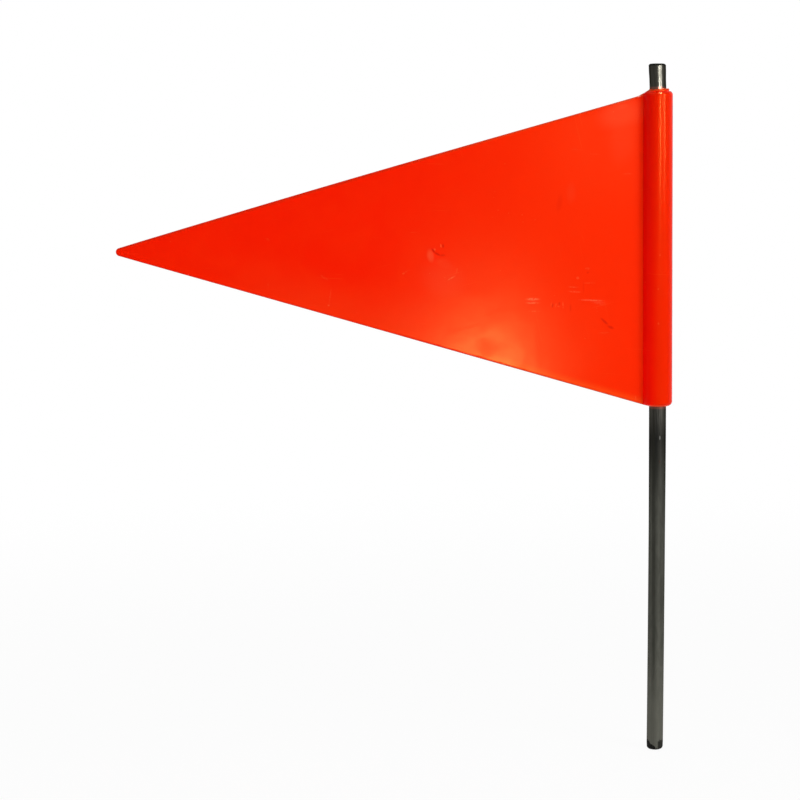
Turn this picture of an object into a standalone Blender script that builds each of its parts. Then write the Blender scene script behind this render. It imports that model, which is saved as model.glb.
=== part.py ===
"""Marker flag: a moulded triangular pennant that turns on a round steel rod.

The rod stands on the origin and runs up +Z. The pennant's plate lies in the XZ plane and points to -X.
All sizes are in metres.
"""

import math

import bmesh
import bpy
from mathutils import Vector

# Rod
ROD_LENGTH = 0.500
ROD_DIAMETER = 0.012
ROD_HEAD_CHAMFER = 0.0010
ROD_FOOT_ROUND = 0.0025

# Sleeve, the round tube along the pennant's wide end
HEAD_STUB = 0.018  # rod that stands above the sleeve
SLEEVE_LENGTH = 0.229
SLEEVE_WALL = 0.0044
BORE_CLEARANCE = 0.0003  # between the rod and the bore, on the radius
BORE_LEAD_IN = 0.0005
RIM_WALL = 0.0020  # raised rim round the bore's upper mouth
RIM_HEIGHT = 0.0018
RIM_ROUND = 0.0006
SHOULDER_DROP = 0.0028  # height of the rounded shoulder below the rim
SLEEVE_FOOT_ROUND = 0.0036

# Plate
PLATE_REACH = 0.3945  # from the rod's axis to the tip
PLATE_THICKNESS = 0.0030
PLATE_EDGE_ROUND = 0.0012
PLATE_TOP_DROP = 0.0038  # from the sleeve's top down to the plate's upper edge
PLATE_FOOT_RISE = 0.0015  # from the sleeve's foot up to the plate's lower edge
TIP_RADIUS = 0.0030
ROOT_FILLET = 0.0010  # where the plate runs into the sleeve
FILLET_SINK = 0.00004  # how far the fillet's edges are sunk below the faces that they meet

# Smoothness of the round stretches
TURN_STEPS = 64
ARC_STEPS = 6
TIP_STEPS = 12
EDGE_STEPS = 3
SHARP_ANGLE = math.radians(35)

ROD_RADIUS = ROD_DIAMETER / 2
BORE_RADIUS = ROD_RADIUS + BORE_CLEARANCE
SLEEVE_RADIUS = BORE_RADIUS + SLEEVE_WALL
WALL_MIDDLE = BORE_RADIUS + SLEEVE_WALL / 2  # how far in the plate's solid runs, measured from the axis
SLEEVE_FOOT_HEIGHT = ROD_LENGTH - HEAD_STUB - SLEEVE_LENGTH
FOOT_ROUND = min(SLEEVE_FOOT_ROUND, SLEEVE_WALL - BORE_LEAD_IN)
EDGE_ROUND = min(PLATE_EDGE_ROUND, 0.45 * PLATE_THICKNESS, 0.8 * TIP_RADIUS)


def clear_scene():
    for item in list(bpy.data.objects):
        bpy.data.objects.remove(item, do_unlink=True)


def plain_material(name, colour, roughness, metallic):
    material = bpy.data.materials.new(name)
    material.use_nodes = True
    shader = material.node_tree.nodes["Principled BSDF"]
    shader.inputs["Base Color"].default_value = (*colour, 1.0)
    shader.inputs["Roughness"].default_value = roughness
    shader.inputs["Metallic"].default_value = metallic
    return material


def arc(centre, radius, start, end, steps=ARC_STEPS, height=None):
    """Points of an arc from one angle to another in degrees. A height of its own makes it elliptic."""
    points = []
    for step in range(steps + 1):
        angle = math.radians(start + (end - start) * step / steps)
        across = centre[0] + radius * math.cos(angle)
        up = centre[1] + (height or radius) * math.sin(angle)
        points.append((across, up))
    return points


def turned(profile):
    """A solid turned round Z from (radius, height) points, closed by a flat face at each end."""
    shape = bmesh.new()
    points = [shape.verts.new((radius, 0, height)) for radius, height in profile]
    edges = [shape.edges.new(pair) for pair in zip(points, points[1:])]
    bmesh.ops.spin(
        shape,
        geom=points + edges,
        cent=(0, 0, 0),
        axis=(0, 0, 1),
        angle=math.tau,
        steps=TURN_STEPS,
        use_merge=True,
    )
    bmesh.ops.holes_fill(shape, edges=shape.edges, sides=0)
    bmesh.ops.recalc_face_normals(shape, faces=shape.faces)
    return shape


def extruded(outline, run):
    """A closed prism from the corners of a flat face and the vector that it runs along."""
    shape = bmesh.new()
    face = shape.faces.new([shape.verts.new(corner) for corner in outline])
    grown = bmesh.ops.extrude_face_region(shape, geom=[face], use_keep_orig=True)
    moved = [part for part in grown["geom"] if isinstance(part, bmesh.types.BMVert)]
    bmesh.ops.translate(shape, verts=moved, vec=run)
    bmesh.ops.recalc_face_normals(shape, faces=shape.faces)
    return shape


def placed(name, shape, height, material=None):
    mesh = bpy.data.meshes.new(name)
    shape.to_mesh(mesh)
    shape.free()
    mesh.shade_smooth()
    mesh.set_sharp_from_angle(angle=SHARP_ANGLE)
    item = bpy.data.objects.new(name, mesh)
    item.location.z = height
    if material:
        mesh.materials.append(material)
    bpy.context.scene.collection.objects.link(item)
    return item


def combined(item, operation, shape_name, shape):
    """Joins a helper shape to an object, or cuts it out, and keeps the helper as a hidden guide."""
    helper = placed(shape_name, shape, item.location.z)
    helper.hide_render = True
    helper.display_type = "WIRE"
    step = item.modifiers.new(shape_name, "BOOLEAN")
    step.operation = operation
    step.object = helper
    step.solver = "EXACT"


def rod_profile():
    foot = arc((ROD_RADIUS - ROD_FOOT_ROUND, ROD_FOOT_ROUND), ROD_FOOT_ROUND, -90, 0)
    head = [(ROD_RADIUS, ROD_LENGTH - ROD_HEAD_CHAMFER), (ROD_RADIUS - ROD_HEAD_CHAMFER, ROD_LENGTH)]
    return [*foot, *head]


def sleeve_profile():
    """The sleeve's outside: a rounded foot, a straight side, a rounded shoulder and a raised rim."""
    rim_radius = min(BORE_RADIUS + RIM_WALL, SLEEVE_RADIUS - RIM_ROUND)
    side_top = SLEEVE_LENGTH - RIM_HEIGHT - SHOULDER_DROP
    foot = arc((SLEEVE_RADIUS - FOOT_ROUND, FOOT_ROUND), FOOT_ROUND, -90, 0)
    shoulder = arc((rim_radius, side_top), SLEEVE_RADIUS - rim_radius, 0, 90, height=SHOULDER_DROP)
    rim = arc((rim_radius - RIM_ROUND, SLEEVE_LENGTH - RIM_ROUND), RIM_ROUND, 0, 90, EDGE_STEPS)
    return [*foot, *shoulder, *rim]


def bore_profile():
    """The bore with a lead-in at each mouth, run past both ends of the sleeve."""
    past = 2 * BORE_LEAD_IN
    mouth = BORE_RADIUS + BORE_LEAD_IN + past
    return [
        (mouth, -past),
        (BORE_RADIUS, BORE_LEAD_IN),
        (BORE_RADIUS, SLEEVE_LENGTH - BORE_LEAD_IN),
        (mouth, SLEEVE_LENGTH + past),
    ]


def plate_slope(root_half):
    """Angle between an edge and the plate's centre line, for edges that touch the tip's round."""
    run = PLATE_REACH - TIP_RADIUS - SLEEVE_RADIUS
    return math.atan2(root_half, run) - math.asin(TIP_RADIUS / math.hypot(root_half, run))


def plate_outline():
    """Corners of the plate's front face, from inside the sleeve's wall round the tip and back."""
    top = SLEEVE_LENGTH - PLATE_TOP_DROP
    middle = (top + PLATE_FOOT_RISE) / 2
    slope = plate_slope(top - middle)
    inner_half = top - middle + (SLEEVE_RADIUS - WALL_MIDDLE) * math.tan(slope)
    turn = math.degrees(slope)
    tip = arc((TIP_RADIUS - PLATE_REACH, middle), TIP_RADIUS, 90 + turn, 270 - turn, TIP_STEPS)
    flat = [(-WALL_MIDDLE, middle + inner_half), *tip, (-WALL_MIDDLE, middle - inner_half)]
    return [(across, -PLATE_THICKNESS / 2, up) for across, up in flat]


def plate_shape():
    shape = extruded(plate_outline(), Vector((0, PLATE_THICKNESS, 0)))
    rims = [edge for edge in shape.edges if edge.verts[0].co.y * edge.verts[1].co.y > 0]
    bmesh.ops.bevel(
        shape,
        geom=rims,
        offset=EDGE_ROUND,
        affect="EDGES",
        segments=EDGE_STEPS,
        profile=0.5,
        material=-1,
    )
    return shape


def root_shape():
    """The fillet strips on both sides of the plate, with a web inside the plate and the sleeve's wall."""
    face = PLATE_THICKNESS / 2 - FILLET_SINK
    side = SLEEVE_RADIUS - FILLET_SINK
    reach = side + ROOT_FILLET
    up = face + ROOT_FILLET
    centre = (-math.sqrt(reach * reach - up * up), up)
    swing = math.degrees(math.asin(up / reach))
    front = arc(centre, ROOT_FILLET, -90, -swing)
    front.append((-WALL_MIDDLE, face))
    back = [(across, -deep) for across, deep in reversed(front)]
    foot = max(FOOT_ROUND, PLATE_FOOT_RISE + EDGE_ROUND)
    top = SLEEVE_LENGTH - max(RIM_HEIGHT + SHOULDER_DROP, PLATE_TOP_DROP + EDGE_ROUND)
    outline = [(across, deep, foot) for across, deep in front + back]
    return extruded(outline, Vector((0, 0, top - foot)))


def make_rod():
    steel = plain_material("dark_steel", (0.085, 0.082, 0.070), 0.42, 1.0)
    placed("rod", turned(rod_profile()), 0.0, steel)


def make_pennant():
    plastic = plain_material("orange_red_plastic", (0.950, 0.022, 0.001), 0.28, 0.0)
    pennant = placed("pennant", plate_shape(), SLEEVE_FOOT_HEIGHT, plastic)
    combined(pennant, "UNION", "sleeve_shape", turned(sleeve_profile()))
    combined(pennant, "UNION", "root_shape", root_shape())
    combined(pennant, "DIFFERENCE", "bore_shape", turned(bore_profile()))


clear_scene()
make_rod()
make_pennant()
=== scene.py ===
"""Looks of the marker flag: a moulded pennant that turns on a worn steel rod, in a plain studio.

The rod stands on the origin and runs up +Z. The pennant's plate lies in the XZ plane, with its front
towards -Y and its tip towards -X. All sizes are in metres.
"""

import math
from functools import reduce

import bmesh
import bpy
from mathutils import Matrix, Vector, noise


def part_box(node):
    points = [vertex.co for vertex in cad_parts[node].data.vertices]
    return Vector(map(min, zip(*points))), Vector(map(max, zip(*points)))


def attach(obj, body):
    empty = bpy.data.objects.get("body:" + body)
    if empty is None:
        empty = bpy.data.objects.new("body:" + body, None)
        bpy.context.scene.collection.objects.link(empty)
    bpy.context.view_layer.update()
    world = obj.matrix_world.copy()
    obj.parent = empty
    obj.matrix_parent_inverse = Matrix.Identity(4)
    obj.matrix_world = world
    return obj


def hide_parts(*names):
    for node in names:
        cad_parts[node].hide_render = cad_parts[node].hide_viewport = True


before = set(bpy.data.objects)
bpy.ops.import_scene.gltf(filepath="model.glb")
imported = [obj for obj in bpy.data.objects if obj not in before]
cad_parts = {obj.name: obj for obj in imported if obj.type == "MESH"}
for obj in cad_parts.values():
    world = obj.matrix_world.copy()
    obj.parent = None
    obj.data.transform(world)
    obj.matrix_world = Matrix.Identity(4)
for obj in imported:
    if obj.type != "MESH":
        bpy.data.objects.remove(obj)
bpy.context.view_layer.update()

MM = 0.001

# Sizes read from the frame
ROD_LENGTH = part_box("rod")[1].z
ROD_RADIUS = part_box("rod")[1].x
SLEEVE_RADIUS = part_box("pennant")[1].x
SLEEVE_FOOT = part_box("pennant")[0].z
SLEEVE_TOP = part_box("pennant")[1].z
PLATE_REACH = -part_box("pennant")[0].x
SLEEVE_LENGTH = SLEEVE_TOP - SLEEVE_FOOT

# Rod sizes
HEAD_SWELL = 0.20 * MM  # the head is hammered a little wider than the bar
HEAD_SWELL_LENGTH = 11 * MM
THICKER_BELOW_SLEEVE = 0.18 * MM  # the bar is a little thicker just under the sleeve
THICKER_FROM = 150 * MM
THICKER_FULL = 235 * MM
THICKER_END = 260 * MM
HEAD_ROUND = 1.9 * MM
HEAD_ROUND_HEIGHT = 1.4 * MM
HEAD_CROWN = 0.15 * MM
FOOT_ROUND = 2.5 * MM
END_RING = 0.4 * ROD_RADIUS  # ring of points inside each end face
CROWN_DROP = 0.2 * HEAD_CROWN  # how far the crown has fallen at that ring
SCRAPE_DEPTH = 0.10 * MM  # ring that the sleeve's foot has scraped into the rod
SCRAPE_WIDTH = 1.2 * MM
SCRAPE_FLAT = 0.2  # share of its half-width that is flat
BURR_HEIGHT = 230.7 * MM
BURR_LENGTH = 4.6 * MM
BURR_WIDTH = 1.5 * MM
BURR_LIFT = 0.34 * MM
BURR_BROKEN = 0.9  # the burr is broken off from this share of its length on
BURR_TURN = math.radians(15)  # round from the front towards the right
BURR_ACROSS = 1.5 * MM
BEND_START = 250 * MM  # below this height the rod is bent towards the pennant's side
BEND_AT_FOOT = 1.6 * MM
BEND_POWER = 1.5
HEAD_LEAN = 0.68 * MM  # and the stub leans the same way
LEAN_START = SLEEVE_TOP - 4 * MM
BAR_WAVE = 0.035 * MM  # soft unevenness of the bar
BAR_WAVE_GRAIN = (90, 90, 28)
HAMMERED_DEPTH = 0.22 * MM
HAMMERED_FROM = ROD_LENGTH - 2.6 * MM
HAMMERED_FULL = ROD_LENGTH - 0.6 * MM
HAMMERED_GRAIN = (420, 420, 420)
CHIP_DEPTH = 0.25 * MM  # the foot is battered all round
CHIP_RISE = 0.15 * MM
CHIP_FULL = 1 * MM
CHIP_END = 7 * MM
CHIP_GRAIN = (380, 380, 380)
CHIP_SEED = (3, 7, 1)
ROD_STEPS = 128
ROD_RING_STEP = 2.5 * MM
ROD_FINE_STEP = 0.35 * MM
FOOT_FINE = 8 * MM  # lengths of the foot and the head that take the fine step
HEAD_FINE = 3 * MM

# Sleeve sizes
BORE_CLEARANCE = 0.3 * MM
BORE_LEAD_IN = 0.5 * MM
RIM_RADIUS = 7.90 * MM
RIM_HEIGHT = 1.8 * MM
RIM_ROUND = 0.6 * MM
RIM_SHIFT = 0.05 * MM  # the rim sits a little to the right of the bore
RIM_TILT = 0.062  # and falls towards the plate
SHOULDER_DROP = 2.8 * MM
CONE_DROP = 0.55 * MM  # on the plate's side the shoulder is a cone that falls to the plate's edge
CONE_SLOPE = 0.62
FOOT_CONE_SLOPE = 0.28  # and the foot is a flatter cone that carries on the plate's lower edge
CONE_FROM = 0.25  # the cones begin and are full at these cosines of the turn from the plate
CONE_FULL = 0.85
SLEEVE_FOOT_ROUND = 3.6 * MM
SLEEVE_STEPS = 144
SLEEVE_RING_STEP = 4 * MM
SLEEVE_WAVE = 0.05 * MM
SLEEVE_WAVE_GRAIN = (45, 45, 16)
BORE_RINGS = 12

# Plate sizes
PLATE_THICKNESS = 3.0 * MM
PLATE_EDGE_ROUND = 1.2 * MM
PLATE_TOP_DROP = 3.8 * MM
PLATE_FOOT_RISE = 1.5 * MM
TIP_RADIUS = 3.0 * MM
ROOT_FILLET = 0.5 * MM
FILLET_SINK = 0.03 * MM
EDGE_BOW = 0.75 * MM  # the upper edge is bowed, up in its middle and down near the sleeve
EDGE_BOW_START = 0.23
LOW_EDGE_SAG = 0.42 * MM  # the lower edge sags towards the sleeve
LOW_EDGE_SAG_POWER = 1.5
EDGE_CURVE_STEPS = 24
GUSSET_START = 16.0 * MM  # where the plate's upper edge begins to climb to the rim
GUSSET_END = 7.2 * MM
GUSSET_RISE = 2.0 * MM
GUSSET_POWER = 1.5
GUSSET_STEPS = 8
FLASH_HEIGHT = 0.07 * MM  # the mould's parting line along every edge
FLASH_WIDTH = 0.22 * MM
FLASH_ZONE = 0.05 * MM  # faces this near the mid-plane carry the line
PLATE_CELL = 4 * MM
DENT_CELL = 1 * MM
WARP_START = 16 * MM  # the plate is straight this near the rod's axis
WARP_FULL = 90 * MM
WARP_DEPTH = 0.40 * MM
WARP_GRAIN = 9
WARP_SEED = 2.7
RIPPLE_DEPTH = 0.03 * MM
RIPPLE_GRAIN = 26
RIPPLE_SEED = 8.1

# Dent with a crease in the plate's front, as (across, up)
DENT_AT = (-163.0 * MM, 363.5 * MM)
DENT_RADIUS = 6.5 * MM
DENT_DEPTH = 0.07 * MM
DENT_ZONE = 1.6 * DENT_RADIUS  # faces this near the dent are cut finer
DENT_CUTS = 1.5 * DENT_RADIUS
CREASE_AT = (-158.6 * MM, 364.6 * MM)
CREASE_RADIUS = 5.2 * MM
CREASE_WIDTH = 1.0 * MM
CREASE_LIFT = 0.16 * MM
CREASE_SWEEP = (-185, -150, -75, -40)  # degrees where the crease begins, is full, fades and ends

# Smoothness and tolerances
ARC_STEPS = 10
EDGE_STEPS = 5
TIP_STEPS = 24
SHARP_ANGLE = math.radians(38)
HAIR = 0.01 * MM  # smallest gap that counts
ON_AXIS = 0.1 * MM  # points nearer the axis have no outward direction
MERGE_GAP = 0.001 * MM
TURN_MERGE_GAP = 0.0005 * MM
CUT_GAP = 0.0001 * MM

BORE_RADIUS = ROD_RADIUS + BORE_CLEARANCE
WALL_MIDDLE = (BORE_RADIUS + SLEEVE_RADIUS) / 2
PLATE_TOP = SLEEVE_TOP - PLATE_TOP_DROP
PLATE_FOOT = SLEEVE_FOOT + PLATE_FOOT_RISE
PLATE_MIDDLE = (PLATE_TOP + PLATE_FOOT) / 2
ROOT_HALF = (PLATE_TOP - PLATE_FOOT) / 2
TIP_AT = PLATE_REACH - TIP_RADIUS
PLATE_RUN = TIP_AT - SLEEVE_RADIUS
PLATE_SLOPE = math.atan2(ROOT_HALF, PLATE_RUN) - math.asin(TIP_RADIUS / math.hypot(ROOT_HALF, PLATE_RUN))


# Shapes

def smooth(value, low, high):
    """0 up to the low value and 1 from the high one on, with a soft step between them."""
    share = min(1.0, max(0.0, (value - low) / (high - low)))
    return share * share * (3 - 2 * share)


def soft_noise(place, grain, seed=(0, 0, 0)):
    """Noise from 0 to 1 at a place, with so many grains to a metre along each axis."""
    spot = [along * scale + shift for along, scale, shift in zip(place, grain, seed)]
    return 0.5 + 0.5 * noise.noise(Vector(spot))


def arc(centre, radius, start, end, steps=ARC_STEPS, height=None):
    """Points of an arc from one angle to another in degrees. A height of its own makes it elliptic."""
    points = []
    for step in range(steps + 1):
        angle = math.radians(start + (end - start) * step / steps)
        across = centre[0] + radius * math.cos(angle)
        up = centre[1] + (height or radius) * math.sin(angle)
        points.append((across, up))
    return points


def turned(profile, steps, ring=False):
    """A solid turned round Z from (radius, height) points. A ring's profile closes on itself."""
    shape = bmesh.new()
    points = [shape.verts.new((radius, 0, height)) for radius, height in profile]
    edges = [shape.edges.new(pair) for pair in zip(points, points[1:])]
    if ring:
        edges.append(shape.edges.new((points[-1], points[0])))
    bmesh.ops.spin(
        shape,
        geom=points + edges,
        cent=(0, 0, 0),
        axis=(0, 0, 1),
        angle=math.tau,
        steps=steps,
        use_merge=True,
    )
    bmesh.ops.remove_doubles(shape, verts=shape.verts, dist=TURN_MERGE_GAP)
    bmesh.ops.recalc_face_normals(shape, faces=shape.faces)
    return shape


def extruded(outline, run):
    """A closed prism from the corners of a flat face and the vector that it runs along."""
    shape = bmesh.new()
    face = shape.faces.new([shape.verts.new(corner) for corner in outline])
    grown = bmesh.ops.extrude_face_region(shape, geom=[face], use_keep_orig=True)
    moved = [part for part in grown["geom"] if isinstance(part, bmesh.types.BMVert)]
    bmesh.ops.translate(shape, verts=moved, vec=run)
    bmesh.ops.recalc_face_normals(shape, faces=shape.faces)
    return shape


def sliced(shape, axis, low, high, step, inside=None):
    """Cuts a shape into strips across an axis, in all of it or only in the faces that inside() names."""
    normal = Vector([1.0 if place == axis else 0.0 for place in range(3)])
    count = int(round((high - low) / step))
    for cut in range(count + 1):
        level = low + (high - low) * cut / count
        faces = [face for face in shape.faces if inside is None or inside(face.calc_center_median())]
        edges = {edge for face in faces for edge in face.edges}
        points = {point for face in faces for point in face.verts}
        bmesh.ops.bisect_plane(
            shape,
            geom=[*faces, *edges, *points],
            dist=CUT_GAP,
            plane_co=normal * level,
            plane_no=normal,
        )


def placed(name, shape):
    mesh = bpy.data.meshes.new(name)
    shape.to_mesh(mesh)
    shape.free()
    item = bpy.data.objects.new(name, mesh)
    bpy.context.scene.collection.objects.link(item)
    return item


def joined(item, helpers):
    """Joins closed helper shapes to an object with exact Booleans and clears them away."""
    for helper in helpers:
        step = item.modifiers.new(helper.name, "BOOLEAN")
        step.operation = "UNION"
        step.object = helper
        step.solver = "EXACT"
    bpy.context.view_layer.update()
    mesh = bpy.data.meshes.new_from_object(item.evaluated_get(bpy.context.evaluated_depsgraph_get()))
    item.modifiers.clear()
    item.data = mesh
    mesh.name = item.name
    for helper in helpers:
        bpy.data.objects.remove(helper, do_unlink=True)


def finished(item, material, body, node):
    """Cleans and shades a new piece, gives it its material and puts it on its body for a CAD node."""
    shape = bmesh.new()
    shape.from_mesh(item.data)
    bmesh.ops.remove_doubles(shape, verts=shape.verts, dist=MERGE_GAP)
    bmesh.ops.dissolve_degenerate(shape, edges=shape.edges, dist=MERGE_GAP)
    bmesh.ops.recalc_face_normals(shape, faces=shape.faces)
    shape.to_mesh(item.data)
    shape.free()
    item.data.shade_smooth()
    item.data.set_sharp_from_angle(angle=SHARP_ANGLE)
    weights = item.modifiers.new("even_normals", "WEIGHTED_NORMAL")
    weights.keep_sharp = True
    item.data.materials.clear()
    item.data.materials.append(material)
    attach(item, body)
    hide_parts(node)
    return item


# Rod

def rod_side_heights():
    """Ring heights up the bar, close together at the head, at the scrape, at the burr and at the foot."""
    top = ROD_LENGTH - HEAD_CROWN - HEAD_ROUND_HEIGHT
    fine_zones = [
        (BURR_HEIGHT - BURR_LENGTH, BURR_HEIGHT + BURR_LENGTH),
        (SLEEVE_FOOT - 2 * SCRAPE_WIDTH, SLEEVE_FOOT + SCRAPE_WIDTH),
        (0, FOOT_FINE),
        (top - HEAD_FINE, top),
    ]
    heights = []
    height = FOOT_ROUND
    while height < top - ROD_FINE_STEP:
        heights.append(height)
        fine = any(low <= height <= high for low, high in fine_zones)
        height += ROD_FINE_STEP if fine else ROD_RING_STEP
    return heights + [top]


def rod_radius(height):
    """The worn bar's radius: swollen at the head, and thicker and then scraped under the sleeve."""
    head = smooth(height, ROD_LENGTH - HEAD_SWELL_LENGTH, ROD_LENGTH - HEAD_SWELL_LENGTH / 2)
    thicker = smooth(height, THICKER_FROM, THICKER_FULL) - smooth(height, SLEEVE_FOOT, THICKER_END)
    swell = HEAD_SWELL * head + THICKER_BELOW_SLEEVE * thicker
    off = abs(height - (SLEEVE_FOOT - SCRAPE_WIDTH)) / SCRAPE_WIDTH
    return ROD_RADIUS + swell - SCRAPE_DEPTH * (1 - smooth(off, SCRAPE_FLAT, 1.0))


def rod_profile():
    foot = arc((ROD_RADIUS - FOOT_ROUND, FOOT_ROUND), FOOT_ROUND, -90, 0)
    side = [(rod_radius(height), height) for height in rod_side_heights()[1:]]
    head_side = ROD_RADIUS + HEAD_SWELL
    round_at = (head_side - HEAD_ROUND, ROD_LENGTH - HEAD_CROWN - HEAD_ROUND_HEIGHT)
    head = arc(round_at, HEAD_ROUND, 0, 90, height=HEAD_ROUND_HEIGHT)
    bottom = [(0, 0), (END_RING, 0)]
    crown = [(END_RING, ROD_LENGTH - CROWN_DROP), (0, ROD_LENGTH)]
    return [*bottom, *foot, *side, *head[1:], *crown]


def burr_lift(point):
    """Height of the raised nick on the rod's front: pointed above, wide and broken off below."""
    turn = math.atan2(point.x, -point.y) - BURR_TURN
    across = abs(turn) * ROD_RADIUS
    down = (BURR_HEIGHT + BURR_LENGTH / 2 - point.z) / BURR_LENGTH
    if not 0 < down < 1:
        return 0.0
    half = BURR_WIDTH / 2 * down
    whole = 1 - smooth(down, BURR_BROKEN, 1.0)
    return BURR_LIFT * down * max(0.0, 1 - across / max(half, HAIR)) * whole


def rod_worn(shape):
    """Wears the rod: a hammered head, a battered foot, soft unevenness, a bend and a leaning stub."""
    for point in shape.verts:
        place = point.co.copy()
        out = Vector((place.x, place.y, 0))
        if out.length > ON_AXIS:
            out.normalize()
        point.co -= out * BAR_WAVE * soft_noise(place, BAR_WAVE_GRAIN)
        head = smooth(place.z, HAMMERED_FROM, HAMMERED_FULL)
        point.co.z -= head * HAMMERED_DEPTH * soft_noise(place, HAMMERED_GRAIN)
        foot = 1 - smooth(place.z, CHIP_FULL, CHIP_END)
        chip = soft_noise(place, CHIP_GRAIN, CHIP_SEED)
        point.co -= out * foot * chip * CHIP_DEPTH
        point.co.z += (1 - smooth(place.z, 0, 2 * CHIP_FULL)) * chip * CHIP_RISE
        point.co += out * burr_lift(place)
        point.co.x -= BEND_AT_FOOT * max(0.0, 1 - place.z / BEND_START) ** BEND_POWER
        point.co.x -= HEAD_LEAN * max(0.0, place.z - LEAN_START) / (ROD_LENGTH - LEAN_START)


def make_rod():
    shape = turned(rod_profile(), ROD_STEPS)
    rod_worn(shape)
    rod = placed("steel_rod", shape)
    finished(rod, steel(), "rod", "rod")
    return rod


# Pennant

def sleeve_profile():
    """The sleeve's wall as a closed ring: foot, side, shoulder, rim, and back down through the bore."""
    side = SLEEVE_RADIUS - FLASH_HEIGHT
    side_top = SLEEVE_TOP - RIM_HEIGHT - SHOULDER_DROP
    foot_round = min(SLEEVE_FOOT_ROUND, side - BORE_RADIUS - BORE_LEAD_IN)
    foot = arc((side - foot_round, SLEEVE_FOOT + foot_round), foot_round, -90, 0)
    count = int((side_top - foot[-1][1]) / SLEEVE_RING_STEP)
    gap = (side_top - foot[-1][1]) / count
    rings = [(side, foot[-1][1] + gap * step) for step in range(1, count)]
    shoulder = arc((RIM_RADIUS, side_top), side - RIM_RADIUS, 0, 90, height=SHOULDER_DROP)
    rim = arc((RIM_RADIUS - RIM_ROUND, SLEEVE_TOP - RIM_ROUND), RIM_ROUND, 0, 90, EDGE_STEPS)
    mouth = [(BORE_RADIUS + BORE_LEAD_IN, SLEEVE_TOP), (BORE_RADIUS, SLEEVE_TOP - BORE_LEAD_IN)]
    bore = [
        (BORE_RADIUS, SLEEVE_FOOT + SLEEVE_LENGTH * (1 - step / BORE_RINGS))
        for step in range(1, BORE_RINGS)
    ]
    exit_mouth = [(BORE_RADIUS, SLEEVE_FOOT + BORE_LEAD_IN), (BORE_RADIUS + BORE_LEAD_IN, SLEEVE_FOOT)]
    return [*foot, *rings, *shoulder, *rim, *mouth, *bore, *exit_mouth]


def sleeve_shape():
    """The turned sleeve. Its rim is tilted, and on the plate's side both ends run out as cones."""
    shape = turned(sleeve_profile(), SLEEVE_STEPS, ring=True)
    side_top = SLEEVE_TOP - RIM_HEIGHT - SHOULDER_DROP
    for point in shape.verts:
        place = point.co.copy()
        radius = math.hypot(place.x, place.y)
        outer = smooth(radius, BORE_RADIUS + BORE_LEAD_IN, RIM_RADIUS - RIM_ROUND)
        upper = smooth(place.z, SLEEVE_TOP - RIM_HEIGHT - SHOULDER_DROP / 2, SLEEVE_TOP - RIM_HEIGHT)
        to_plate = smooth(-place.x / radius, CONE_FROM, CONE_FULL)
        if radius > BORE_RADIUS + BORE_LEAD_IN / 2 and place.z > side_top:
            cone = SLEEVE_TOP - CONE_DROP - CONE_SLOPE * (radius - ROD_RADIUS)
            point.co.z += (max(side_top, cone) - place.z) * to_plate
        if radius < SLEEVE_RADIUS - FLASH_HEIGHT - HAIR and place.z < SLEEVE_FOOT + SLEEVE_FOOT_ROUND:
            cone = SLEEVE_FOOT + FOOT_CONE_SLOPE * max(0.0, radius - BORE_RADIUS - BORE_LEAD_IN)
            off_bore = smooth(radius, BORE_RADIUS, BORE_RADIUS + BORE_LEAD_IN)
            point.co.z += (cone - place.z) * to_plate * off_bore
        point.co.x += RIM_SHIFT * upper * outer * (1 - to_plate)
        point.co.z -= RIM_TILT * (RIM_RADIUS + RIM_SHIFT - place.x) * upper * (1 - to_plate)
        wave = SLEEVE_WAVE * soft_noise(place, SLEEVE_WAVE_GRAIN)
        push = wave * smooth(radius, WALL_MIDDLE, SLEEVE_RADIUS - 1 * MM)
        point.co.x -= place.x / radius * push
        point.co.y -= place.y / radius * push
    return shape


def edge_top(across):
    """Height of the plate's upper edge at a distance from the rod's axis, with its bow and its climb."""
    height = PLATE_TOP - (across - SLEEVE_RADIUS) * math.tan(PLATE_SLOPE)
    along = max(0.0, across - SLEEVE_RADIUS) / PLATE_RUN
    bow = EDGE_BOW * math.sin(math.pi * (along - EDGE_BOW_START) / (1 - EDGE_BOW_START))
    share = max(0.0, (GUSSET_START - across) / (GUSSET_START - GUSSET_END))
    return height + bow + GUSSET_RISE * share ** GUSSET_POWER


def edge_foot(across):
    """Height of the plate's lower edge at a distance from the rod's axis, with its sag."""
    height = PLATE_FOOT + (across - SLEEVE_RADIUS) * math.tan(PLATE_SLOPE)
    along = min(1.0, max(0.0, (TIP_AT - across) / PLATE_RUN))
    return height - LOW_EDGE_SAG * along ** LOW_EDGE_SAG_POWER


def plate_outline():
    """Corners of the plate's front face, from inside the sleeve's wall round the tip and back."""
    slope = math.degrees(PLATE_SLOPE)
    rise = (GUSSET_START - GUSSET_END) / GUSSET_STEPS
    climb = [GUSSET_END + rise * step for step in range(GUSSET_STEPS + 1)]
    gap = (TIP_AT - GUSSET_START) / EDGE_CURVE_STEPS
    run = [GUSSET_START + gap * step for step in range(1, EDGE_CURVE_STEPS)]
    upper = [(-across, edge_top(across)) for across in climb + run]
    tip_radius = TIP_RADIUS - FLASH_HEIGHT - HAIR
    tip = arc((-TIP_AT, PLATE_MIDDLE), tip_radius, 90 + slope, 270 - slope, TIP_STEPS)
    lower = [(-across, edge_foot(across)) for across in [*reversed(run), GUSSET_START, GUSSET_END]]
    return [(across, -PLATE_THICKNESS / 2, up) for across, up in [*upper, *tip, *lower]]


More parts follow.
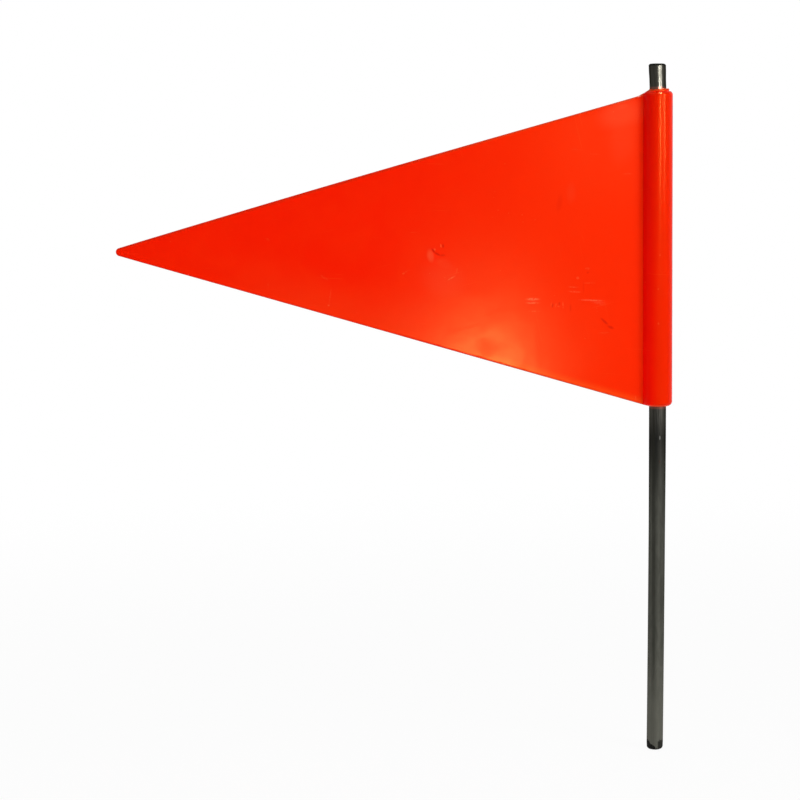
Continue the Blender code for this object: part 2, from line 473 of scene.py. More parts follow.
def plate_bow(across, up):
    """How far the plate has warped out of its plane, with the dent and its crease."""
    hold = smooth(-across, WARP_START, WARP_FULL)
    broad = noise.noise(Vector((across * WARP_GRAIN, up * WARP_GRAIN, WARP_SEED)))
    fine = noise.noise(Vector((across * RIPPLE_GRAIN, up * RIPPLE_GRAIN, RIPPLE_SEED)))
    bow = hold * (WARP_DEPTH * broad + RIPPLE_DEPTH * fine)
    from_dent = math.hypot(across - DENT_AT[0], up - DENT_AT[1])
    bow += DENT_DEPTH * (1 - smooth(from_dent, 0, DENT_RADIUS))
    arm = Vector((across - CREASE_AT[0], up - CREASE_AT[1]))
    if arm.length < 2 * CREASE_RADIUS and arm.length > 0:
        turn = math.degrees(math.atan2(arm.y, arm.x))
        start, full, fade, end = CREASE_SWEEP
        along = smooth(turn, start, full) * (1 - smooth(turn, fade, end))
        ridge = 1 - smooth(abs(arm.length - CREASE_RADIUS), 0, CREASE_WIDTH)
        bow -= CREASE_LIFT * ridge * along
    return bow


def near_dent(place):
    return abs(place.x - DENT_AT[0]) < DENT_ZONE and abs(place.z - DENT_AT[1]) < DENT_ZONE


def plate_shape():
    """The plate with rounded rims and the mould's parting line, cut into cells and then warped."""
    shape = extruded(plate_outline(), Vector((0, PLATE_THICKNESS, 0)))
    rims = [edge for edge in shape.edges if edge.verts[0].co.y * edge.verts[1].co.y > 0]
    bmesh.ops.bevel(
        shape,
        geom=rims,
        offset=PLATE_EDGE_ROUND,
        affect="EDGES",
        segments=EDGE_STEPS,
        profile=0.5,
        material=-1,
    )
    middles = [(face, face.calc_center_median()) for face in shape.faces]
    seam = [face for face, middle in middles if abs(middle.y) < FLASH_ZONE and middle.x < -SLEEVE_RADIUS]
    strip = PLATE_THICKNESS - 2 * PLATE_EDGE_ROUND
    bmesh.ops.inset_region(
        shape,
        faces=seam,
        thickness=(strip - FLASH_WIDTH) / 2,
        depth=FLASH_HEIGHT,
        use_boundary=False,
        use_even_offset=True,
    )
    sliced(shape, 0, -PLATE_REACH + 1.5 * PLATE_CELL, -WARP_START, PLATE_CELL)
    sliced(shape, 2, PLATE_FOOT + PLATE_CELL, PLATE_TOP - PLATE_CELL, PLATE_CELL)
    for axis, middle in ((0, DENT_AT[0]), (2, DENT_AT[1])):
        sliced(shape, axis, middle - DENT_CUTS, middle + DENT_CUTS, DENT_CELL, near_dent)
    for point in shape.verts:
        point.co.y += plate_bow(point.co.x, point.co.z)
    bmesh.ops.triangulate(shape, faces=[face for face in shape.faces if len(face.verts) > 4])
    return shape


def root_shape():
    """The fillet strips on both sides of the plate, with a web inside the plate and the sleeve's wall."""
    face = PLATE_THICKNESS / 2 - FILLET_SINK
    side = SLEEVE_RADIUS - FLASH_HEIGHT - SLEEVE_WAVE / 2 - FILLET_SINK
    reach = side + ROOT_FILLET
    up = face + ROOT_FILLET
    centre = (-math.sqrt(reach * reach - up * up), up)
    swing = math.degrees(math.asin(up / reach))
    front = arc(centre, ROOT_FILLET, -90, -swing)
    front.append((-WALL_MIDDLE, face))
    back = [(across, -deep) for across, deep in reversed(front)]
    foot = SLEEVE_FOOT + max(SLEEVE_FOOT_ROUND, PLATE_FOOT_RISE + PLATE_EDGE_ROUND)
    top = SLEEVE_TOP - max(RIM_HEIGHT + SHOULDER_DROP, PLATE_TOP_DROP + PLATE_EDGE_ROUND)
    outline = [(across, deep, foot) for across, deep in front + back]
    return extruded(outline, Vector((0, 0, top - foot)))


def make_pennant():
    pennant = placed("moulded_pennant", plate_shape())
    joined(pennant, [placed("sleeve_wall", sleeve_shape()), placed("root_fillets", root_shape())])
    finished(pennant, plastic(), "pennant", "pennant")
    return pennant


# Materials

class Term:
    """One socket of a material. Arithmetic on it adds Math nodes."""

    def __init__(self, tree, socket=None):
        self.tree = tree
        self.socket = socket

    def node(self, kind, settings=None, sockets=None, output=0):
        """Adds a node with its settings and then its sockets, and returns one of its outputs."""
        made = self.tree.nodes.new(kind)
        for name, value in (settings or {}).items():
            setattr(made, name, value)
        inputs = {socket.identifier: socket for socket in made.inputs}
        for name, value in (sockets or {}).items():
            if isinstance(value, Term):
                self.tree.links.new(value.socket, inputs[name])
            else:
                inputs[name].default_value = value
        return Term(self.tree, made.outputs[output])

    def beside(self, name):
        """Another output of the same node."""
        return Term(self.tree, self.socket.node.outputs[name])

    def math(self, operation, *values):
        names = ("Value", "Value_001", "Value_002")
        return self.node("ShaderNodeMath", {"operation": operation}, dict(zip(names, values)))

    def __add__(self, other):
        return self.math("ADD", self, other)

    __radd__ = __add__

    def __sub__(self, other):
        return self.math("SUBTRACT", self, other)

    def __rsub__(self, other):
        return self.math("SUBTRACT", other, self)

    def __mul__(self, other):
        return self.math("MULTIPLY", self, other)

    __rmul__ = __mul__

    def __pow__(self, other):
        return self.math("POWER", self, other)

    def __abs__(self):
        return self.math("ABSOLUTE", self)

    def most(self, other):
        return self.math("MAXIMUM", self, other)

    def ease(self, low, high, top=1.0):
        """0 at the low value and a top value at the high one, with a soft step between them."""
        return self.node(
            "ShaderNodeMapRange",
            {"interpolation_type": "SMOOTHSTEP"},
            {"Value": self, "From Min": low, "From Max": high, "To Max": top},
        )

    def blend(self, first, second):
        """A colour between two colours, by this value from 0 to 1."""
        colours = [c if isinstance(c, Term) else (*c, 1.0) for c in (first, second)]
        return self.node(
            "ShaderNodeMix",
            {"data_type": "RGBA"},
            {"Factor_Float": self, "A_Color": colours[0], "B_Color": colours[1]},
            output="Result",
        )

    def moved(self, at=(0, 0, 0), turn=(0, 0, 0), scale=(1, 1, 1)):
        """These coordinates seen from a place, turned and scaled by it."""
        return self.node(
            "ShaderNodeMapping",
            {"vector_type": "TEXTURE"},
            {"Vector": self, "Location": at, "Rotation": turn, "Scale": scale},
        )

    def grain(self, scale, detail=2.0, rough=0.5, distort=0.0):
        """Noise from 0 to 1 at a scale given in patches per metre."""
        return self.node(
            "ShaderNodeTexNoise",
            {},
            {"Vector": self, "Scale": scale, "Detail": detail, "Roughness": rough, "Distortion": distort},
        )

    def cells(self, scale):
        """Distance from the nearest of many scattered points, in cells."""
        return self.node("ShaderNodeTexVoronoi", {}, {"Vector": self, "Scale": scale})

    def length(self):
        return self.node("ShaderNodeVectorMath", {"operation": "LENGTH"}, {"Vector": self}, output="Value")

    def parts(self):
        """The three coordinates, each as a term."""
        first = self.node("ShaderNodeSeparateXYZ", {}, {"Vector": self}, output="X")
        return first, first.beside("Y"), first.beside("Z")


def new_material(name):
    """A material with its shader, and a first term on the object's own coordinates."""
    material = bpy.data.materials.new(name)
    material.use_nodes = True
    tree = material.node_tree
    shader = tree.nodes["Principled BSDF"]
    place = Term(tree).node("ShaderNodeTexCoord", output="Object")
    return material, shader, place


def feed(shader, name, term):
    term.tree.links.new(term.socket, shader.inputs[name])


def emboss(shader, height):
    """Gives the shader the normal of a height in metres."""
    sockets = {"Strength": 1.0, "Distance": 1.0, "Height": height}
    feed(shader, "Normal", height.node("ShaderNodeBump", {}, sockets))


def mark(place, across, up, length, width, lean, strength):
    """A soft spot on the front, by its middle, length and width in millimetres and its lean in degrees."""
    seen = place.moved(
        (across * MM, 0, up * MM),
        (0, -math.radians(lean), 0),
        (length / 2 * MM, 1, width / 2 * MM),
    )
    return seen.length().ease(1.0, 0.25, strength)


def strongest(terms):
    """The greatest of several terms. Each is folded in as it is made, which keeps the material small."""
    return reduce(Term.most, terms)


def marked(place, table):
    return strongest(mark(place, *row) for row in table)


def scratch(place, turn, seed):
    """Thin, broken scratches that all run one way."""
    lines = place.moved((seed, 0, seed), (0, turn, 0), (1 / 14, 1, 1 / 900)).grain(1.0, 1.0)
    few = place.moved((0, 0, seed), (0, turn, 0), (1 / 22, 1, 1 / 70)).grain(1.0, 1.0).ease(0.56, 0.66)
    return lines.ease(0.66, 0.74) * few


# Marks on the pennant's front: across, up, length, width, lean and strength
PALE_SCUFFS = [
    (-90.4, 330.9, 13, 2.6, 0, 0.52),
    (-90.4, 328.2, 13, 2.2, 0, 0.38),
    (-89.3, 322.2, 11, 1.4, 0, 0.22),
    (-149.3, 346.4, 9, 1.5, 30, 0.34),
    (-145.3, 351.6, 6, 1.5, 80, 0.14),
    (-184.0, 350.0, 2.6, 2.0, 29, 0.30),
    (-181.6, 351.4, 7, 1.4, 29, 0.12),
    (-161.2, 367.3, 3.4, 1.9, -55, 0.30),
    (-156.7, 369.9, 3.8, 1.5, 101, 0.34),
    (-176.6, 379.7, 8, 1.1, 0, 0.08),
    (-283.0, 375.2, 5, 2.6, -30, 0.10),
    (-241.8, 347.2, 9, 2.4, -34, 0.10),
    (-237.6, 333.5, 15, 1.4, 81, 0.10),
    (-238.8, 326.9, 2.4, 1.8, 0, 0.28),
    (-282.8, 342.0, 7, 1.1, 90, 0.06),
    (-21.7, 421.1, 9, 1.5, 2, 0.14),
    (-58.9, 438.8, 10, 1.6, -8, 0.07),
    (-45.7, 435.4, 11, 1.5, -3, 0.07),
    (-50.6, 353.0, 5, 2.4, 0, 0.14),
    (-57.7, 346.2, 3.2, 2.8, 0, 0.20),
    (-49.3, 342.5, 13, 1.1, 0, 0.13),
    (-60.8, 339.6, 10, 1.6, -2, 0.18),
    (-59.8, 336.2, 12, 1.8, -4, 0.20),
    (-47.6, 330.0, 24, 1.5, -2, 0.34),
    (-43.0, 328.2, 14, 3.4, -3, 0.11),
    (-40.2, 326.8, 7, 1.8, 0, 0.09),
    (-39.0, 306.4, 11, 1.6, 3, 0.12),
    (-77.0, 327.0, 4, 1.1, 80, 0.18),
    (-73.6, 326.6, 4.4, 1.3, 75, 0.20),
    (-71.6, 325.6, 2.6, 1.5, 0, 0.18),
    (-68.4, 326.6, 6.5, 1.2, 92, 0.26),
    (-15.8, 259.1, 4.5, 1.0, 95, 0.26),
    (1.2, 363.0, 1.8, 2.6, 0, 0.20),
    (0.0, 338.4, 1.6, 2.2, 0, 0.16),
    (0.2, 313.5, 1.8, 2.6, 0, 0.20),
]
DARK_SCUFFS = [
    (-162.2, 366.3, 5.4, 2.1, -55, 0.95),
    (-159.2, 363.9, 7.0, 2.2, -28, 0.90),
    (-155.6, 363.0, 5.5, 2.2, 2, 0.55),
    (-155.1, 369.8, 4.0, 1.9, -83, 0.70),
    (-38.4, 314.6, 10, 2.6, -42, 0.80),
    (-34.0, 310.4, 7, 3.0, -22, 0.75),
    (-75.9, 326.2, 4.6, 1.7, 80, 0.60),
    (-71.0, 327.6, 3.4, 2.0, 85, 0.50),
    (-63.0, 324.5, 2, 8, 0, 0.25),
    (-50.5, 350.0, 3, 2.0, 20, 0.30),
    (-53.6, 339.5, 2, 12, 0, 0.16),
    (-70.9, 400.5, 18, 6, 80, 0.16),
    (-15.6, 475.0, 2.6, 1.8, 20, 0.60),
]
# Soft pale patches of painted sheen: the glint on the dent and its tail, the spread of the glow, and the
# sheen in the plate's upper part near the sleeve
SHEEN_PATCHES = [
    (-164.2, 362.6, 13, 7, 100, 0.22),
    (-154.5, 356.5, 24, 12, -35, 0.05),
    (-155.0, 345.0, 44, 34, -20, 0.05),
    (-27.0, 464.0, 44, 30, 15, 0.11),
    (-26.0, 469.0, 20, 7, 15, 0.14),
    (-25.0, 473.6, 30, 4.4, 16.5, 0.30),
    (-26.0, 446.0, 50, 26, 88, 0.04),
    (-62.5, 407.6, 22, 9, 88, 0.04),
]
NUB = (-14.0, 477.0, 3.6, 2.8, 10, 0.9)

# Fine scratches: the turn of their direction in radians, and a seed
SCRATCHES = [(0.05, 0.3), (-0.25, 1.7), (1.35, 3.1)]

# Colours of the plastic
DEEP_ORANGE = (0.95, 0.0085, 0.0001)
PLAIN_ORANGE = (0.97, 0.0108, 0.0002)
LIGHT_ORANGE = (0.98, 0.0230, 0.0009)
# Painted shade and light on the sleeve: darker at its top and on its left side, lighter at its foot and on
# its right side
SHADED_HIGH_SLEEVE_RED = (0.77, 0.0012, 0.0001)
LIT_LOW_SLEEVE_RED = (0.98, 0.0024, 0.0001)
LIT_RIGHT_SLEEVE_RED = (0.81, 0.0150, 0.0001)
SLEEVE_SHADOW_RED = (0.84, 0.0050, 0.0001)
LOW_EDGE_SHEEN_ORANGE = (0.98, 0.17, 0.018)
LOW_GLOW_ORANGE = (0.98, 0.17, 0.030)
SCRATCH_TINT = (0.97, 0.085, 0.022)
SHEEN_PATCH_TINT = (0.98, 0.20, 0.085)
PALE_SCUFF_TINT = (0.98, 0.22, 0.100)
DARK_SCUFF_TINT = (0.72, 0.0, 0.0)
SPECK_TINT = (0.97, 0.14, 0.06)
FAR_EDGE_SHADE = (0.66, 0.020, 0.004)
NEAR_EDGE_SHADE = (0.68, 0.060, 0.010)
NUB_GLINT_TINT = (0.96, 0.46, 0.40)
RIM_TOP_TINT = (0.54, 0.052, 0.008)
FOOT_HIGHLIGHT_TINT = (0.96, 0.100, 0.035)
PAINTED_LIGHT_FROM = -220 * MM  # painted light: the plate is painted lighter from here towards the sleeve, as if lit more strongly there
PAINTED_LIGHT_FULL = -50 * MM
PLASTIC_GLOSS = 0.06
PLASTIC_GLOSS_TINT = (1.0, 0.50, 0.115, 1.0)


def plastic():
    """Orange-red moulded plastic: deeper on the sleeve, softly mottled, scuffed and scratched, with painted
    light and shade: lighter towards the sleeve, shade on the sleeve and beside it, sheen near the lower edge
    and in pale patches, and highlights on the edges, the gate and the sleeve's foot.
    """
    material, shader, place = new_material("orange_red_plastic")
    across, deep, up = place.parts()
    radius = (across * across + deep * deep) ** 0.5
    front = 1 - deep.ease(-0.3 * MM, 0.3 * MM)

    on_sleeve = 1 - radius.ease(SLEEVE_RADIUS - 0.1 * MM, SLEEVE_RADIUS + 0.4 * MM)
    mottle = place.grain(11, 3.0, 0.55).ease(0.3, 0.7)
    cloud = place.grain(38, 4.0, 0.6, 0.6).ease(0.35, 0.75)

    colour = mottle.blend(PLAIN_ORANGE, DEEP_ORANGE)
    # Painted light: the plate grows lighter towards the sleeve, as the light falls off towards the tip
    colour = (across.ease(PAINTED_LIGHT_FROM, PAINTED_LIGHT_FULL) * 0.80).blend(colour, LIGHT_ORANGE)
    colour = (cloud * 0.25).blend(colour, LIGHT_ORANGE)
    # The sleeve's deeper red is partly the thick plastic over the dark rod, and partly painted shade: darker
    # towards its top and on its left side, painted lighter towards its foot and on its right side
    sleeve = up.ease(SLEEVE_FOOT, SLEEVE_TOP).blend(LIT_LOW_SLEEVE_RED, SHADED_HIGH_SLEEVE_RED)
    sleeve = across.ease(-7 * MM, 2 * MM).blend(sleeve, LIT_RIGHT_SLEEVE_RED)
    colour = (on_sleeve * 0.95).blend(colour, sleeve)

    ragged = place.grain(900, 2.0).ease(0.25, 0.6)
    pale = marked(place, PALE_SCUFFS) * ragged * front
    dark = marked(place, DARK_SCUFFS) * front
    sheen_patches = marked(place, SHEEN_PATCHES) * front

    fine = strongest(scratch(place, *row) for row in SCRATCHES)
    specks = (1 - place.cells(160).ease(0.03, 0.07)) * place.grain(24).ease(0.52, 0.62)

    from_low = (up - PLATE_MIDDLE) * math.cos(PLATE_SLOPE) + (across + TIP_AT) * math.sin(PLATE_SLOPE)
    sag = ((across + TIP_AT) * (1 / PLATE_RUN)).most(0) ** LOW_EDGE_SAG_POWER * LOW_EDGE_SAG
    low_gap = from_low + TIP_RADIUS + sag
    low_edge = 1 - low_gap.ease(0.2 * MM, 1.0 * MM)
    from_top = (PLATE_MIDDLE - up) * math.cos(PLATE_SLOPE) + (across + TIP_AT) * math.sin(PLATE_SLOPE)
    top_edge = 1 - (from_top + TIP_RADIUS).ease(0.7 * MM, 1.9 * MM)
    off_sleeve = 1 - on_sleeve
    # Painted shadow: the plate darkens next to the sleeve, where the sleeve shades it, more strongly towards
    # the top
    beside = across.ease(-20 * MM, -10 * MM) * off_sleeve * (0.10 + up.ease(0.30, 0.50, 0.45))
    colour = beside.blend(colour, SLEEVE_SHADOW_RED)
    # Painted sheen: a paler orange band along the lower edge, below the glow
    low_edge_sheen = (1 - low_gap.ease(1.5 * MM, 6.5 * MM)) * across.ease(-0.145, -0.105)
    colour = (low_edge_sheen * off_sleeve * 0.20).blend(colour, LOW_EDGE_SHEEN_ORANGE)
    # Painted light: a faint paler haze rising from the lower edge, further towards the tip
    low_glow = (1 - low_gap.ease(2 * MM, 38 * MM)) * across.ease(-0.34, -0.25)
    low_glow = low_glow * (1 - across.ease(-0.20, -0.14))
    colour = (low_glow * 0.085).blend(colour, LOW_GLOW_ORANGE)
    colour = (fine * 0.16).blend(colour, SCRATCH_TINT)
    # Painted sheen in soft pale patches
    colour = sheen_patches.blend(colour, SHEEN_PATCH_TINT)
    colour = pale.blend(colour, PALE_SCUFF_TINT)
    colour = dark.blend(colour, DARK_SCUFF_TINT)
    colour = (specks * 0.45).blend(colour, SPECK_TINT)
    # Painted light and shade on the rounded edges: a darker line along them, more orange towards the sleeve
    # where the light is stronger
    edge_shading = across.ease(PAINTED_LIGHT_FROM, PAINTED_LIGHT_FULL).blend(FAR_EDGE_SHADE, NEAR_EDGE_SHADE)
    colour = (low_edge.most(top_edge) * off_sleeve * 0.60).blend(colour, edge_shading)
    # Painted glint: a pale spot on the gate's vestige at the plate's top edge
    nub = mark(place, *NUB) * place.grain(1400).ease(0.2, 0.5)
    colour = nub.blend(colour, NUB_GLINT_TINT)
    rim_up = up - across * RIM_TILT
    rim_top = rim_up.ease(SLEEVE_TOP - 2.0 * MM, SLEEVE_TOP - 1.1 * MM) * on_sleeve
    colour = (rim_top * 0.7).blend(colour, RIM_TOP_TINT)
    # Painted highlight along the rounded foot of the sleeve
    foot_highlight = (1 - up.ease(SLEEVE_FOOT + 0.6 * MM, SLEEVE_FOOT + 1.6 * MM)) * on_sleeve
    colour = (foot_highlight * 0.7).blend(colour, FOOT_HIGHLIGHT_TINT)
    feed(shader, "Base Color", colour)

    wear = place.grain(60, 3.0).ease(0.4, 0.7)
    cone = up.ease(SLEEVE_TOP - 6.0 * MM, SLEEVE_TOP - 4.5 * MM) * (1 - across.ease(-6 * MM, 0))
    roughness = 0.18 + 0.05 * wear + 0.30 * pale + 0.25 * dark + 0.12 * fine + 0.55 * cone
    roughness = roughness - 0.055 * on_sleeve + 0.40 * rim_top
    feed(shader, "Roughness", roughness)

    peel = place.grain(1500, 2.0)
    swell = place.grain(120, 2.0)
    height = peel * (0.006 * MM) + swell * (0.030 * MM) - fine * (0.012 * MM)
    emboss(shader, height)
    shader.inputs["Specular IOR Level"].default_value = PLASTIC_GLOSS
    shader.inputs["Specular Tint"].default_value = PLASTIC_GLOSS_TINT
    return material


# Colours of the steel
DARK_STREAK = (0.012, 0.012, 0.011)
LIGHT_STREAK = (0.024, 0.0235, 0.020)
DARK_DULL = (0.066, 0.067, 0.055)
LIGHT_DULL = (0.108, 0.108, 0.090)
RUBBED_STEEL = (0.085, 0.082, 0.070)
DARK_STUB = (0.031, 0.029, 0.023)
LIGHT_STUB = (0.046, 0.0445, 0.037)
DARK_REFLECTION = (0.012, 0.012, 0.009)
RIM_DARK_REFLECTION = (0.010, 0.010, 0.008)
DRY_SOIL = (0.115, 0.114, 0.094)
BARE_BURR = (0.17, 0.168, 0.155)
DARK_DIRT = (0.006, 0.006, 0.005)
PENNANT_REFLECTION_RED = (0.30, 0.08, 0.05)  # painted reflection of the pennant's red in the steel beside it
UPPER_FADE = (160 * MM, 240 * MM, 0.66)  # the bar is less dull above these heights: from, to, by how much
LOWER_FADE = (35 * MM, 115 * MM, 0.34)
STEEL_GLOSS = 0.25
STEEL_GLOSS_TINT = (0.30, 0.30, 0.28, 1.0)


def steel():
    """Dark worn steel: rubbed bright at the head, streaked along its length, greyer and dirty at the foot,
    with painted reflections: a dark band down the front, a dark line round the head's rim and the pennant's
    red beside the sleeve.
    """
    material, shader, place = new_material("dark_steel")
    across, deep, up = place.parts()
    turn = across.math("ARCTAN2", across, deep * -1.0)

    streaks = place.moved(scale=(1, 1, 45)).grain(420, 3.0, 0.6)
    hairs = place.moved(scale=(1, 1, 30)).grain(1600, 2.0, 0.6)
    blotches = place.moved(scale=(1, 1, 3)).grain(170, 4.0, 0.6, 0.8)
    # Painted reflection: a dark band down the bar's front-left, where it mirrors something dark
    dark_reflection = (1 - abs(turn + 0.47).ease(0.10, 0.34)) * streaks.ease(0.2, 0.6)

    down = 1 - up.ease(*UPPER_FADE) - up.ease(*LOWER_FADE)
    stub = up.ease(SLEEVE_TOP - 2 * MM, SLEEVE_TOP + 1 * MM)
    rubbed = up.ease(SLEEVE_FOOT - 26 * MM, SLEEVE_FOOT - 4 * MM) * (1 - stub)
    side = (across + BEND_AT_FOOT) * (1 / ROD_RADIUS)
    ragged = up + (blotches - 0.5) * (2 * MM) + (place.grain(900, 3.0) - 0.5) * (4 * MM)
    left_rise = (side * -1.0).ease(0.15, 1.15) * (4.2 * MM) + (1 - side.ease(-0.15, 0.10)) * (2.1 * MM)
    grime = side.ease(0.25, 0.45) * (1 - ragged.ease(6.6 * MM, 7.6 * MM)) * 0.86
    dirt = (1 - (ragged - left_rise).ease(1.1 * MM, 1.9 * MM)).most(grime)
    soil = (1 - up.ease(20 * MM, 70 * MM)) * 0.6
    burr_size = (BURR_WIDTH * 0.35, 1, BURR_LENGTH * 0.45)
    burr = place.moved((BURR_ACROSS, 0, BURR_HEIGHT - 0.5 * MM), scale=burr_size)
    burr = (1 - burr.length().ease(0.3, 1.0)) * (1 - deep.ease(-1 * MM, 0))
    # Painted reflection: the head's chamfer is darker, where it mirrors dark surroundings
    rim = up.ease(ROD_LENGTH - 2.2 * MM, ROD_LENGTH - 1.2 * MM)

    patchy = (blotches * 0.6 + streaks * 0.4).ease(0.35, 0.65)
    dull = patchy.blend(DARK_DULL, LIGHT_DULL)
    colour = streaks.ease(0.3, 0.7).blend(DARK_STREAK, LIGHT_STREAK)
    colour = (down * 0.95).blend(colour, dull)
    colour = (rubbed * 0.55 * hairs.ease(0.25, 0.6)).blend(colour, RUBBED_STEEL)
    colour = (stub * 0.8).blend(colour, hairs.ease(0.3, 0.7).blend(DARK_STUB, LIGHT_STUB))
    colour = (dark_reflection * (1 - stub) * 0.6).blend(colour, DARK_REFLECTION)
    colour = (rim * 0.85).blend(colour, RIM_DARK_REFLECTION)
    colour = soil.blend(colour, DRY_SOIL)
    colour = (burr * 0.9).blend(colour, BARE_BURR)
    colour = dirt.blend(colour, DARK_DIRT)
    # Painted reflection of the pennant's red in the steel just below and above the sleeve
    reflection_below = 1 - abs(up - SLEEVE_FOOT).ease(0.8 * MM, 2.4 * MM)
    reflection_above = 1 - abs(up - SLEEVE_TOP).ease(0.3 * MM, 1.8 * MM)
    colour = (reflection_below * 0.35).most(reflection_above * 0.30).blend(colour, PENNANT_REFLECTION_RED)
    feed(shader, "Base Color", colour)

    roughness = 0.40 - 0.14 * stub + 0.08 * down + 0.10 * blotches + 0.25 * dirt
    feed(shader, "Roughness", roughness)
    feed(shader, "Metallic", (1 - dirt) * (1 - 0.45 * down) * (1 - 0.4 * soil))

    height = hairs * (0.010 * MM) + streaks * (0.015 * MM)
    height = height + blotches * down * (0.05 * MM) + dirt * (0.10 * MM)
    emboss(shader, height)
    shader.inputs["Specular IOR Level"].default_value = STEEL_GLOSS
    shader.inputs["Specular Tint"].default_value = STEEL_GLOSS_TINT
    return material


# Studio

CAMERA_AT = Vector((-0.0678, -2.0, 0.4486))
CAMERA_YAW = math.radians(-3.418)
CAMERA_PITCH = math.radians(-5.448)
CAMERA_ROLL = math.radians(-0.398)
CAMERA_LENS = 124.09
CAMERA_SENSOR = 36.0

WORLD_LIGHT = 0.58
ON_PLATE = (-0.08, 0, 0.36)
ON_SLEEVE = (0, 0, 0.44)
ON_HEAD = (0, 0, 0.49)

# Lamps: name, place, target, size, power and spread in degrees
KEY_SOFTBOX = ("key_softbox", (1.10, -1.22, 0.86), ON_PLATE, (0.85, 0.85), 15.5, 180)
FLOOR_BOUNCE = ("floor_bounce", (-0.42, -0.42, 0.02), (-0.16, 0, 0.30), (0.50, 0.40), 0.55, 180)
PENNANT_SHEENS = [
    ("sleeve_sheen", (0.964, -1.327, 0.83), ON_SLEEVE, (1.24, 0.85), 8.0, 100),
    ("sleeve_stripe", (0.440, -1.580, 0.69), ON_SLEEVE, (0.30, 0.60), 3.2, 50),
    ("side_stripe", (1.285, -1.018, 0.69), ON_SLEEVE, (0.30, 0.60), 2.1, 50),
    ("plate_glow", (-0.179, -1.2, 0.243), (-0.130, 0, 0.32), (0.12, 0.14), 0.0040, 11),
    ("glow_core", (-0.162, -1.2, 0.170), (-0.119, 0, 0.285), (0.03, 0.03), 0.0145, 9),
    ("corner_haze", (0.002, -1.2, 0.46), (-0.042, 0, 0.455), (0.09, 0.10), 0.0009, 5.5),
    ("overhead_sheen", (0.40, -0.70, 1.50), ON_HEAD, (0.30, 0.90), 55.0, 80),
]
ROD_SHEENS = [
    ("rod_glint", (0.57, -1.34, 0.57), ON_HEAD, (0.34, 0.20), 0.38, 16),
    ("side_glint", (1.060, -1.004, 0.57), ON_HEAD, (0.34, 0.20), 0.17, 16),
]

FLOOR_SIZE = 14.0
FLOOR_DROP = 0.2 * MM
FLOOR_NEAR = 0.35
FLOOR_FAR = 1.6
FLOOR_LIFT = 0.94  # share of plain white that the eye sees near the rod; far off it is all white
FLOOR_CELLS = 8
FLOOR_GREY = (0.80, 0.80, 0.80, 1.0)
FLOOR_ROUGHNESS = 0.9


def make_camera():
    forward = Vector((
        math.sin(CAMERA_YAW) * math.cos(CAMERA_PITCH),
        math.cos(CAMERA_YAW) * math.cos(CAMERA_PITCH),
        math.sin(CAMERA_PITCH),
    ))
    level = Vector((math.cos(CAMERA_YAW), -math.sin(CAMERA_YAW), 0))
    upright = level.cross(forward)
    right = level * math.cos(CAMERA_ROLL) + upright * math.sin(CAMERA_ROLL)
    up = upright * math.cos(CAMERA_ROLL) - level * math.sin(CAMERA_ROLL)
    lens = bpy.data.cameras.new("camera")
    lens.lens = CAMERA_LENS
    lens.sensor_width = CAMERA_SENSOR
    camera = bpy.data.objects.new("camera", lens)
    camera.matrix_world = Matrix.Translation(CAMERA_AT) @ Matrix((right, up, -forward)).transposed().to_4x4()
    bpy.context.scene.collection.objects.link(camera)
    bpy.context.scene.camera = camera


def make_lamp(name, at, target, size, power, spread):
    """A rectangular lamp aimed at a target. It isn't seen by the camera itself."""
    light = bpy.data.lights.new(name, "AREA")
    light.shape = "RECTANGLE"
    light.size, light.size_y = size
    light.energy = power
    light.spread = math.radians(spread)
    lamp = bpy.data.objects.new(name, light)
    lamp.visible_camera = False
    lamp.location = at
    lamp.rotation_euler = (Vector(target) - Vector(at)).to_track_quat("-Z", "Y").to_euler()
    bpy.context.scene.collection.objects.link(lamp)
    return lamp


def make_sheen(only, name, *rest):
    """A lamp that adds nothing but gloss, and only to one piece."""
    lamp = make_lamp(name, *rest)
    lamp.visible_diffuse = False
    lit = bpy.data.collections.new(name + "_receiver")
    lit.objects.link(only)
    lamp.light_linking.receiver_collection = lit


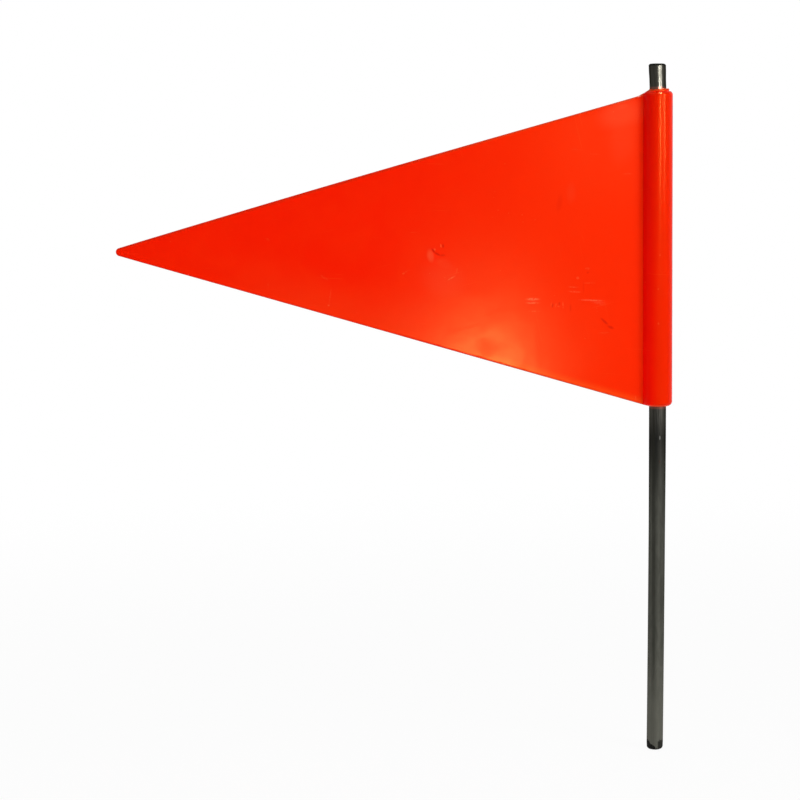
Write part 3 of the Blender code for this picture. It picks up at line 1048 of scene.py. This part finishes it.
def make_lamps(rod, pennant):
    make_lamp(*KEY_SOFTBOX)
    bounce = make_lamp(*FLOOR_BOUNCE)
    bounce.visible_glossy = False
    for row in PENNANT_SHEENS:
        make_sheen(pennant, *row)
    for row in ROD_SHEENS:
        make_sheen(rod, *row)


def seen_by_eye(term):
    """1 for rays from the camera, from gloss and through glass, and 0 for light that falls on things."""
    path = term.node("ShaderNodeLightPath", output="Is Camera Ray")
    return path.most(path.beside("Is Glossy Ray")).most(path.beside("Is Transmission Ray"))


def make_world():
    world = bpy.data.worlds.new("studio")
    world.use_nodes = True
    tree = world.node_tree
    backdrop = tree.nodes["Background"]
    backdrop.inputs["Color"].default_value = (1, 1, 1, 1)
    strength = WORLD_LIGHT + (1 - WORLD_LIGHT) * seen_by_eye(Term(tree))
    tree.links.new(strength.socket, backdrop.inputs["Strength"])
    bpy.context.scene.world = world


def make_floor():
    shape = bmesh.new()
    bmesh.ops.create_grid(shape, x_segments=FLOOR_CELLS, y_segments=FLOOR_CELLS, size=FLOOR_SIZE / 2)
    bmesh.ops.translate(shape, verts=shape.verts, vec=(0, 0, -FLOOR_DROP))
    floor = placed("studio_floor", shape)
    material, shader, place = new_material("pale_floor")
    shader.inputs["Base Color"].default_value = FLOOR_GREY
    shader.inputs["Roughness"].default_value = FLOOR_ROUGHNESS
    shader.inputs["Specular IOR Level"].default_value = 0.0
    tree = material.node_tree
    away = place.length().ease(FLOOR_NEAR, FLOOR_FAR)
    share = seen_by_eye(place) * (FLOOR_LIFT + (1 - FLOOR_LIFT) * away)
    white = place.node("ShaderNodeEmission", {}, {"Color": (1, 1, 1, 1), "Strength": 1.0})
    lit = Term(tree, shader.outputs[0])
    mixed = place.node("ShaderNodeMixShader", {}, {"Fac": share, "Shader": lit, "Shader_001": white})
    output = tree.nodes["Material Output"]
    tree.links.new(mixed.socket, output.inputs["Surface"])
    floor.data.materials.append(material)


rod = make_rod()
pennant = make_pennant()
make_camera()
make_lamps(rod, pennant)
make_world()
make_floor()
bpy.context.scene.view_settings.view_transform = "Standard"
# With the light tree the small glow lamps are missed on parts of the plate, which leaves a hard edge
bpy.context.scene.cycles.use_light_tree = False
